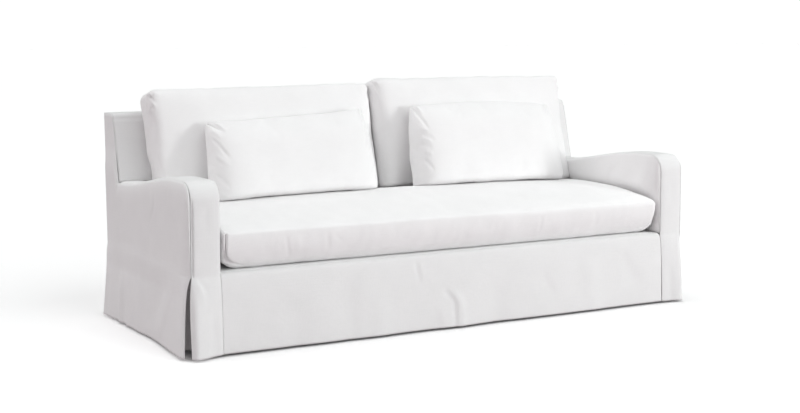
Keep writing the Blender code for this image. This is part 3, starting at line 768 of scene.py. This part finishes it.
def seat_cushion(fabric):
    half = (0.945, 0.342, 0.085)

    def shape(unit):
        # Its foot is rounder than its top, and its right end softer than its left.
        unit = closer(unit, SEAT_DRAWN)
        high = smoothstep((unit[:, 2] + 0.9) / 1.4)
        right = smoothstep(3 * unit[:, 0])
        radii = (between(between(0.056, 0.022, high), 0.042, right), 0.036, between(0.052, 0.032, high))
        a, b, c = rounded(unit, half, radii, between(between(2.1, 4.5, high), 2.3, right)).T
        under = np.clip(0.75 - c, 0, None) ** 2 / 1.75 ** 2
        end = between(0.02, 0.004, right) * under
        x = a * (SEAT["half_width"] + 0.006 - 0.02 * (1 - b ** 4) - end)
        bulge = 0.01 + 0.004 * (1 - a * a) - 0.052 * under
        depth = between(SEAT["front"], SEAT["rear"], (b + 1) / 2) - bulge * smoothstep(-b * 2.5 - 1.5)
        return np.c_[x, depth, between(DECK_Z + SEAM, seat_top(x, depth), (c + 1) / 2)]

    def off_seam(unit):
        """Each place's distance in metres from the seam round the cushion's top and foot."""
        unit = closer(unit, SEAT_DRAWN)
        return rim(unit, half) + (1 - np.abs(unit[:, 2])) * half[2]

    def relief(unit, points):
        lift = -0.0014 * bell(off_seam(unit), 0.004)
        front = (unit[:, 1] < -0.93) & (np.abs(unit[:, 2]) < 0.98)
        lift += front * fold_relief(points[:, [0, 2]], SEAT_FOLDS)
        # The seams down the front's two ends are drawn deep into the filling.
        lift += front * fold_relief(np.c_[-np.abs(points[:, 0]), points[:, 2]], SEAT_END_SEAM)
        return lift + uneven(points, 0.16, 0.0016, 5) + uneven(points, 0.05, 0.0005, 6)

    cushion("seat_cushion", (158, 58, 14), shape, relief, off_seam, fabric,
            slack=0.02, drawn=0.02, gain=0.12)


# A back cushion's end is gathered at its top corner. Places are on its cover, opened out round the
# corner: (how far down from the corner, how far forward of the cushion's middle).
CORNER_FOLDS = {"left": [
    ([(0.018, 0.056), (0.029, 0.072), (0.045, 0.1)], 0.006, -0.0085, (0.2, 0.5)),
    ([(0.026, 0.068), (0.034, 0.074)], 0.008, -0.006, 0.3),
    ([(0.046, 0.074), (0.06, 0.094), (0.074, 0.11)], 0.007, 0.0045, (0.2, 0.5)),
    ([(0.064, 0.068), (0.08, 0.084)], 0.005, -0.0055, (0.2, 0.4)),
    ([(0.012, 0.09), (0.02, 0.11), (0.03, 0.13)], 0.009, 0.004, (0.3, 0.6)),
    ([(0.07, 0.052), (0.12, 0.058), (0.19, 0.056)], 0.018, -0.006, (0.2, 0.7)),
    ([(0.03, 0.04), (0.06, 0.02), (0.11, 0.01)], 0.012, 0.0035, (0.2, 0.6)),
    ([(-0.012, 0.03), (0.012, 0.042), (0.026, 0.062)], 0.008, 0.003, 0.3),
], "right": [
    ([(0.016, 0.036), (0.024, 0.052), (0.056, 0.088)], 0.006, -0.006, (0.2, 0.5)),
    ([(0.012, 0.07), (0.026, 0.092), (0.05, 0.118)], 0.008, 0.004, (0.3, 0.6)),
    ([(0.04, 0.03), (0.09, 0.044), (0.17, 0.05)], 0.016, -0.0045, (0.2, 0.7)),
    ([(0.03, 0.01), (0.08, 0.002), (0.13, -0.004)], 0.012, 0.003, (0.2, 0.6)),
    ([(0.052, 0.06), (0.07, 0.082), (0.086, 0.1)], 0.007, 0.003, (0.3, 0.5)),
]}
# A pillow's folds fan out of its end seam. Places on its front are (across, up) from its middle.
LUMBAR_FOLDS = {"left": [
    ([(-0.292, 0.158), (-0.262, 0.138), (-0.232, 0.098), (-0.2, 0.066)], (0.007, 0.006), 0.0055, (0.1, 0.5)),
    ([(-0.318, 0.146), (-0.262, 0.1), (-0.216, 0.07)], (0.006, 0.007), -0.0055, (0.1, 0.4)),
    ([(-0.3, 0.062), (-0.268, 0.04), (-0.244, 0.014), (-0.214, -0.014)],
     (0.005, 0.006), -0.0045, (0.2, 0.4)),
    ([(-0.288, 0.012), (-0.258, -0.006), (-0.222, -0.026)], 0.007, 0.0035, (0.2, 0.4)),
    ([(-0.292, 0.092), (-0.262, 0.07), (-0.236, 0.05)], 0.006, 0.003, (0.2, 0.4)),
    ([(-0.3, -0.04), (-0.266, -0.056), (-0.232, -0.08)], (0.006, 0.007), -0.0026, (0.3, 0.4)),
    ([(-0.296, -0.09), (-0.262, -0.096), (-0.23, -0.116)], 0.007, 0.0022, (0.3, 0.4)),
], "right": [
    ([(-0.29, 0.16), (-0.262, 0.12), (-0.238, 0.07)], (0.008, 0.007), 0.005, (0.1, 0.5)),
    ([(-0.306, 0.132), (-0.276, 0.094), (-0.246, 0.05), (-0.226, 0.024)],
     (0.007, 0.006), -0.005, (0.1, 0.3)),
    ([(-0.28, 0.042), (-0.256, 0.036), (-0.23, 0.028)], 0.004, 0.003, (0.2, 0.3)),
    ([(-0.272, 0.026), (-0.246, 0.016), (-0.21, -0.002)], 0.004, -0.0032, (0.2, 0.3)),
    ([(-0.284, 0.011), (-0.25, 0.006), (-0.222, -0.006)], 0.004, 0.0024, (0.2, 0.3)),
    ([(-0.288, -0.004), (-0.258, -0.009), (-0.228, -0.018)], (0.004, 0.005), -0.003, (0.2, 0.3)),
    ([(-0.27, -0.024), (-0.248, -0.03), (-0.228, -0.038)], 0.005, 0.0026, (0.2, 0.3)),
    ([(-0.276, -0.044), (-0.254, -0.058), (-0.232, -0.076)], 0.005, -0.003, (0.2, 0.3)),
]}


def back_cushion(side, sign, fabric):
    size = BACK_CUSHIONS[side]
    half = (size["half_width"], sum(size["heights"]) / 4, BACK_EDGE / 2 + BACK_PUFF / 4)
    middle = sign * (INNER - 0.002) / 2
    foot_z = DECK_Z + SEAT["edge"] + SEAT["crown"]

    def leaning(x, up, forward):
        return np.c_[x, back_face(foot_z) + up * sin(LEAN) - forward * cos(LEAN),
                         foot_z + up * cos(LEAN) + forward * sin(LEAN)]

    def shape(unit):
        unit = closer(unit, BACK_DRAWN)
        meets = (side == "right") * smoothstep(-2 * unit[:, 0])
        crisp = np.where(unit[:, 1] < 0, 1.0, smoothstep(2 * unit[:, 0]))
        crisp *= smoothstep(2 * np.abs(unit[:, 1]))
        radii = (between(between(0.036, 0.018, crisp), 0.06, meets), between(0.036, 0.018, crisp),
                 between(0.04, 0.08, meets))
        a, b, c = rounded(unit, half, radii, 2.3).T
        full = (1 - np.abs(a) ** 3.2) * (1 - np.abs(b) ** 2.6)
        inner = INNER_EDGE[side] * np.clip(-sign * a, 0, None) ** 4
        forward = 0.001 + (BACK_EDGE + BACK_PUFF * full + inner) * (c + 1) / 2
        drawn_in = np.where(sign * a > 0, -0.008 * (1 - b * b), INNER_REACH[side])
        x = middle + a * (size["half_width"] + drawn_in * smoothstep(4 * np.abs(a)))
        foot = leaning(x, 0 * x, forward)
        drop = (foot[:, 2] - seat_top(foot[:, 0], foot[:, 1]) - 0.001) / cos(LEAN)
        height = between(*size["heights"], (a + 1) / 2) + size["arch"] * (1 - a * a)
        points = leaning(x, between(-drop, height, (b + 1) / 2), forward)
        over = sign * size["over"] * np.abs(a) * smoothstep((points[:, 2] - ARM_LOW_Z - 0.02) / 0.1)
        points[:, 0] += np.where(sign * a > 0, over, 0.0)
        return points

    def off_seam(unit):
        """Each place's distance in metres from the seam round the middle of the cushion's edge."""
        unit = closer(unit, BACK_DRAWN)
        return rim(unit, half) + np.abs(unit[:, 2]) * half[2]

    def relief(unit, points):
        lift = -0.0022 * bell(off_seam(unit), 0.006)
        unit = closer(unit, BACK_DRAWN)
        for end, folds in ((-1, side), (1, OTHER[side])):
            near = (unit[:, 0] * end > 0) & (unit[:, 1] > 0)
            a, b, c = np.abs(unit[:, 0]), np.abs(unit[:, 1]), unit[:, 2]
            down = (1 - b) * half[1] - np.where(b > 0.999, (1 - a) * half[0], 0.0)
            forward = c * half[2] + np.where(c > 0.999, (1 - a) * half[0], 0.0)
            places = np.c_[down, forward]
            lift += np.where(near, fold_relief(places, CORNER_FOLDS[folds]), 0.0)
        return lift + uneven(points, 0.15, 0.0014, 8 + sign) + uneven(points, 0.05, 0.0004, 11 + sign)

    cushion(f"back_cushion_{side}", (78, 38, 16), shape, relief, off_seam, fabric,
            slack=0.02, drawn=0.03, gain=0.15)


def lumbar_pillow(side, fabric):
    size = LUMBARS[side]
    half = (0.345, sum(size["heights"]) / 4, 0.011)

    def shape(unit):
        # Corners lie closer together towards the seam, where the pillow turns fastest.
        a, b, c = unit[:, 0], unit[:, 1], unit[:, 2]
        a, b = a * (1.5 - 0.5 * a * a), b * (1.5 - 0.5 * b * b)
        power = np.where((b < 0) & (c > 0), 9.0, 2.6)
        full = np.clip((1 - np.abs(a) ** 9.0) * (1 - np.abs(b) ** power), 0, 1) ** 0.6
        puff = np.where(c > 0, LUMBAR_FRONT - LUMBAR_SLUMP * b, LUMBAR_REAR)
        edge = between(0.0015, LUMBAR_EDGE / 2, np.clip(full * 4, 0, 1))
        forward = c * (edge + puff * full)
        fallen_share = 1 - ((b + 1) / 2) ** 3
        left, right = [between(top, foot, fallen_share) for top, foot in size["ends"]]
        pull = 0.006 * (1 - b * b)
        x = between(left + pull, right - pull + size["spread"], (a + 1) / 2)
        up = (between(*size["heights"], (a + 1) / 2) + size["arch"] * (1 - a * a)) * (b + 1) / 2
        foot_z = seat_top(x, size["foot"] + 0 * x) - 0.002
        depth = size["foot"] + up * sin(LUMBAR_LEAN) - forward * cos(LUMBAR_LEAN)
        depth += LUMBAR_HEAD_BACK * smoothstep((b - 0.3) / 0.7)
        # Low down the filling sinks onto the seat in place of rising with the pillow's lean.
        rise = forward * sin(LUMBAR_LEAN) * smoothstep((b + 1) / 0.9)
        z = foot_z + up * cos(LUMBAR_LEAN) + np.where(c > 0, rise, forward * sin(LUMBAR_LEAN))
        above = (z - seat_top(x, depth)) / LUMBAR_REST
        return np.c_[x, depth, z + LUMBAR_REST * np.logaddexp(0, -above)]

    def off_seam(unit):
        return rim(unit, half)

    def relief(unit, points):
        front = unit[:, 2] > 0
        places = unit[:, :2] * half[:2]
        fold = fold_relief(places, LUMBAR_FOLDS[side])
        # The right end is gathered the same way, in mirror image.
        fold += fold_relief(places * (-1, 1), LUMBAR_FOLDS[OTHER[side]])
        lift = np.where(front, fold, 0.0)
        lift += uneven(points, 0.12, 0.0016, 15 + len(side)) + uneven(points, 0.04, 0.0005, 18 + len(side))
        # Where it rests on the seat it lies even.
        return lift * smoothstep((points[:, 2] - seat_top(points[:, 0], points[:, 1])) / 0.04)

    cushion(f"lumbar_pillow_{side}", (82, 42, 2), shape, relief, off_seam, fabric,
            slack=0.03, drawn=0.02, gain=0.22)


# ---- Materials ----

THREAD = 0.0011  # the pitch of the weave
SLUBS, FUZZ, MOTTLE = 520.0, 60.0, 9.0  # how many of each go into a metre
# Painted shade: the cover's white is a darker copy of the cushions' white, standing in for shade on the
# cover.
SHADED_COVER_WHITE = (0.865, 0.862, 0.863)
LIT_CUSHION_WHITE = (0.936, 0.927, 0.93)


class Nodes:
    """The nodes of a material or world. An input that is given another node's output is linked."""

    def __init__(self, owner):
        owner.use_nodes = True
        self.tree = owner.node_tree

    def set(self, node, values):
        for name, value in values.items():
            if isinstance(value, bpy.types.NodeSocket):
                self.tree.links.new(value, node.inputs[name])
            else:
                node.inputs[name].default_value = value
        return node

    def add(self, kind, values, **settings):
        node = self.tree.nodes.new(f"ShaderNode{kind}")
        for setting, value in settings.items():
            setattr(node, setting, value)
        return self.set(node, values)

    def math(self, kind, a, b=0.0, **settings):
        return self.add("Math", {0: a, 1: b}, operation=kind, **settings).outputs[0]


def linen(name, colour, lean=0.0):
    """White linen and cotton: an uneven plain weave with thicker threads here and there."""
    fabric = bpy.data.materials.new(name)
    nodes = Nodes(fabric)
    math = nodes.math
    place = nodes.add("TexCoord", {}).outputs["Object"]
    turned = nodes.add("Mapping", {"Vector": place, "Rotation": (lean, 0.0, 0.0)}).outputs["Vector"]

    def cloud(scale, stretch, detail):
        squeezed = nodes.add("Mapping", {"Vector": turned, "Scale": stretch}).outputs["Vector"]
        return nodes.add("TexNoise", {"Vector": squeezed, "Scale": scale, "Detail": detail}).outputs["Fac"]

    apart = nodes.add("SeparateXYZ", {"Vector": turned})
    weave, slubs = 0.0, 0.0
    for axis in "XYZ":
        weave = math("ADD", weave, math("SINE", math("MULTIPLY", apart.outputs[axis], 2 * pi / THREAD)))
    for stretch in ((0.04, 1, 1), (1, 0.04, 1), (1, 1, 0.04)):
        slubs = math("ADD", slubs, cloud(SLUBS, stretch, 2.0))
    height = math("ADD", math("MULTIPLY", weave, 0.18), math("MULTIPLY", slubs, 1.1))
    height = math("ADD", height, math("MULTIPLY", cloud(FUZZ, (1, 1, 1), 3.0), 1.6))
    bump = nodes.add("Bump", {"Strength": 0.35, "Distance": 0.0006, "Height": height})
    mottle = math("MULTIPLY", cloud(MOTTLE, (1, 1, 1), 4.0), 0.5)
    ramp = nodes.add("ValToRGB", {"Fac": math("ADD", math("MULTIPLY", slubs, 0.35), mottle)})
    for stop, position, share in zip(ramp.color_ramp.elements, (0.6, 0.95), (0.955, 1.0)):
        stop.position = position
        stop.color = (*[share * c for c in colour], 1.0)
    nodes.set(nodes.tree.nodes["Principled BSDF"], {
        "Roughness": 0.88, "Specular IOR Level": 0.25, "Sheen Weight": 0.12, "Sheen Roughness": 0.6,
        "Normal": bump.outputs["Normal"], "Base Color": ramp.outputs["Color"]})
    return fabric


# ---- Studio ----

DAYLIGHT = (0.98, 1.01, 1.003)  # the lamps' white
REFLECTOR = (1.013, 0.99, 0.998)  # the white of the screens round the sofa, a little rosier
FLOOR_BOUNCE = (0.335, 0.285, 0.3)  # the floor's colour in the light that it throws back
# The floor glows though it is no lamp: painted light that also lights the sofa from below.
FLOOR_GLOW = 0.18
FLOOR_REACH = 60.0
SKY_GLOW = 1.18
AIM = Vector((0.0, 0.0, 0.35))  # where the near lamp points
FOOTPRINT = (1.05, 0.455)  # half of the cover's length and depth on the floor, where the floor's painted glow stops and painted shade lies
LENS = (63.0, 36.0)  # in millimetres, with the sensor's width
LENS_SHIFT = -0.06
CAMERA_AT = (-2.7195, -4.8588, 1.1231)
CAMERA_TILT, CAMERA_TURN = 84.5489, -29.2523


def outside_footprint(nodes):
    """The floor's painted glow: it keeps the floor white and lights the sofa from below, and it ends where
    the cover stands, painting shade under the sofa.
    """
    apart = nodes.add("SeparateXYZ", {"Vector": nodes.add("TexCoord", {}).outputs["Object"]})
    off = [nodes.math("SUBTRACT", nodes.math("ABSOLUTE", apart.outputs[axis]), reach)
           for axis, reach in zip("XY", FOOTPRINT)]
    glow = {"Value": nodes.math("MAXIMUM", *off), "From Max": 0.03, "To Max": FLOOR_GLOW}
    return nodes.add("MapRange", glow).outputs["Result"]


def floor():
    z = CAD_BOX[0][2] - FLOOR_DROP
    corners = [(x * FLOOR_REACH, y * FLOOR_REACH, z) for x, y in ((-1, -1), (1, -1), (1, 1), (-1, 1))]
    obj = new_object("studio_floor", corners, [(0, 1, 2, 3)])
    white = bpy.data.materials.new("studio_white")
    nodes = Nodes(white)
    # Seen directly it is white; what it throws back onto the sofa is duller.
    seen = nodes.add("LightPath", {}).outputs["Is Camera Ray"]
    tones = {"Factor": seen, "A": (*FLOOR_BOUNCE, 1.0), "B": (0.96, 0.96, 0.96, 1.0)}
    nodes.set(nodes.tree.nodes["Principled BSDF"], {
        "Base Color": nodes.add("Mix", tones, data_type="RGBA").outputs["Result"],
        "Roughness": 1.0, "Specular IOR Level": 0.0,
        "Emission Color": (*REFLECTOR, 1.0), "Emission Strength": outside_footprint(nodes)})
    obj.data.materials.append(white)


def towards(azimuth, elevation):
    """The way to a light that stands so many degrees round from the front towards the right."""
    turn, rise = radians(azimuth), radians(elevation)
    return Vector((sin(turn) * cos(rise), -cos(turn) * cos(rise), sin(rise)))


def lamp(name, kind, azimuth, elevation, distance=0.0, **settings):
    light = bpy.data.lights.new(name, kind)
    light.color = DAYLIGHT
    for setting, value in settings.items():
        setattr(light, setting, value)
    way = towards(azimuth, elevation)
    obj = bpy.data.objects.new(name, light)
    obj.location = AIM + way * distance
    obj.rotation_mode = "QUATERNION"
    obj.rotation_quaternion = way.to_track_quat("Z", "Y")
    link(obj)


def sky():
    """A soft glow from the left. What the camera sees past the floor's edge is plain white."""
    world = bpy.data.worlds.new("studio_sky")
    bpy.context.scene.world = world
    nodes = Nodes(world)
    ray = nodes.add("TexCoord", {}).outputs["Generated"]
    facing = nodes.add("VectorMath", {0: ray, 1: towards(-90, 0)}, operation="DOT_PRODUCT")
    glow = nodes.math("MULTIPLY", facing.outputs["Value"], SKY_GLOW, use_clamp=True)
    light = nodes.set(nodes.tree.nodes["Background"], {"Color": (*REFLECTOR, 1.0), "Strength": glow})
    seen = nodes.add("Background", {"Color": (1, 1, 1, 1), "Strength": 1.05})
    path = nodes.add("LightPath", {})
    mix = nodes.add("MixShader", {0: path.outputs["Is Camera Ray"], 1: light.outputs[0], 2: seen.outputs[0]})
    nodes.set(nodes.tree.nodes["World Output"], {"Surface": mix.outputs[0]})


def camera():
    data = bpy.data.cameras.new("camera")
    data.lens, data.sensor_width = LENS
    data.shift_y = LENS_SHIFT
    data.clip_end = 200.0
    obj = bpy.data.objects.new("camera", data)
    obj.location = CAMERA_AT
    obj.rotation_euler = (radians(CAMERA_TILT), 0.0, radians(CAMERA_TURN))
    link(obj)
    bpy.context.scene.camera = obj


# ---- The whole scene ----

SIDES = {"left": -1, "right": 1}


def main():
    camera()
    cover = linen("cover_linen", SHADED_COVER_WHITE)
    seat_and_lit_arm_fabric = linen("cushion_linen", LIT_CUSHION_WHITE)
    back_fabric = linen("back_cushion_linen", LIT_CUSHION_WHITE, -LEAN)
    lumbar_fabric = linen("lumbar_linen", LIT_CUSHION_WHITE, -LUMBAR_LEAN)
    sheets = [deck(cover), front_panel(cover), inside_back(cover), outside_back(cover)]
    for side, sign in SIDES.items():
        sheets += [outside_arm(side, sign, cover), arm_boxing(side, sign, cover),
                   # The insides of the arms take the cushions' lighter white: painted light for what the
                   # seat throws onto them.
                   inside_arm(side, sign, seat_and_lit_arm_fabric)]
        sheets += [gusset(end, side, sign, cover) for end in GUSSETS]
    seat_cushion(seat_and_lit_arm_fabric)
    for side, sign in SIDES.items():
        back_cushion(side, sign, back_fabric)
        lumbar_pillow(side, lumbar_fabric)
    floor()
    sky()
    lamp("key", "AREA", 42, 6, 10.0, shape="RECTANGLE", size=0.8, size_y=2.6, energy=406)
    lamp("top", "SUN", 180, 70, angle=radians(50), energy=1.3)
    lamp("front", "SUN", 30, 40, angle=radians(50), energy=1.16)
    bpy.context.scene.view_settings.view_transform = "Standard"


main()
